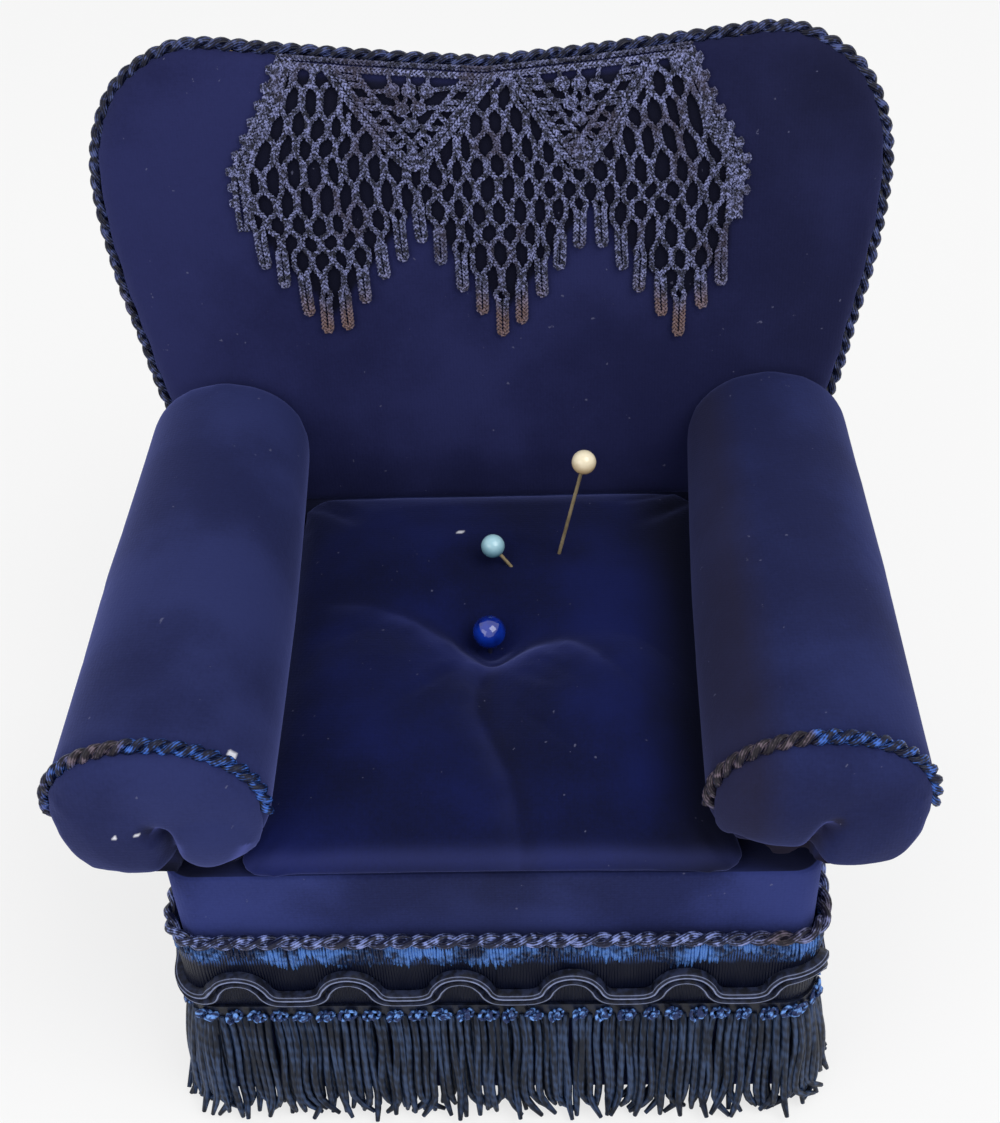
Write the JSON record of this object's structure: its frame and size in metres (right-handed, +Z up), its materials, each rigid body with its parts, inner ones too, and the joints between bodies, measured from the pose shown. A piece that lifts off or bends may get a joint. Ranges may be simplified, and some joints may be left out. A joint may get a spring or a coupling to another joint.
{
  "type": "chair pincushion",
  "caption": "Miniature wing armchair in dark blue velvet whose stuffed seat takes pins, with a lace cover on the back, twisted cord trims and a bullion fringe.",
  "frame": {"origin": "middle of the base's footprint, on the flat underside it stands on", "axes": "+Z up, -Y the way the chair faces, +X to the right of a person who looks at its front"},
  "size_m": [0.1318, 0.1111, 0.138],
  "materials": {
    "velvet": "cotton velvet, navy blue-violet with a soft nap",
    "velvet_seat": "cotton velvet, the same cloth in shade, pile pressed towards the tuft",
    "felt": "plain dark blue felt",
    "card": "stiff paste board, uncoated",
    "bead_glass": "royal blue, glossy",
    "thread": "waxed upholstery thread",
    "anchor_button": "plain flat button",
    "cord": "twisted rayon cord with a silky sheen",
    "lace_yarn": "crocheted cotton yarn, slate blue, a little faded to brown at the points",
    "satin": "satin band with upright threads",
    "gimp": "woven gimp braid with light edge threads",
    "fringe_yarn": "twisted rayon bullion strands and knotted heading",
    "pearl_cream": "cream pearl lacquer",
    "pearl_blue": "light blue pearl lacquer",
    "pin_steel": "nickel-plated steel wire, polished"
  },
  "bodies": {
    "root": {"underside_felt": "felt", "base_box": "card", "base_cover": "velvet", "seat_cushion": "velvet_seat", "tuft_bead": "bead_glass", "tuft_thread": "thread", "tuft_anchor": "anchor_button", "back_board": "card", "back_front_pad": "velvet", "back_rear_pad": "velvet", "back_edge_cord": "cord", "left_arm_roll": "velvet", "right_arm_roll": "velvet", "left_arm_front_panel": "velvet", "right_arm_front_panel": "velvet", "left_arm_cord": "cord", "right_arm_cord": "cord", "lace_antimacassar": "lace_yarn", "base_edge_cord": "cord", "fringe_header_band": "satin", "gimp_braid": "gimp", "fringe_skirt": "fringe_yarn", "pin_cream_head": "pearl_cream", "pin_cream_shaft": "pin_steel", "pin_blue_head": "pearl_blue", "pin_blue_shaft": "pin_steel"}
  },
  "joints": []
}
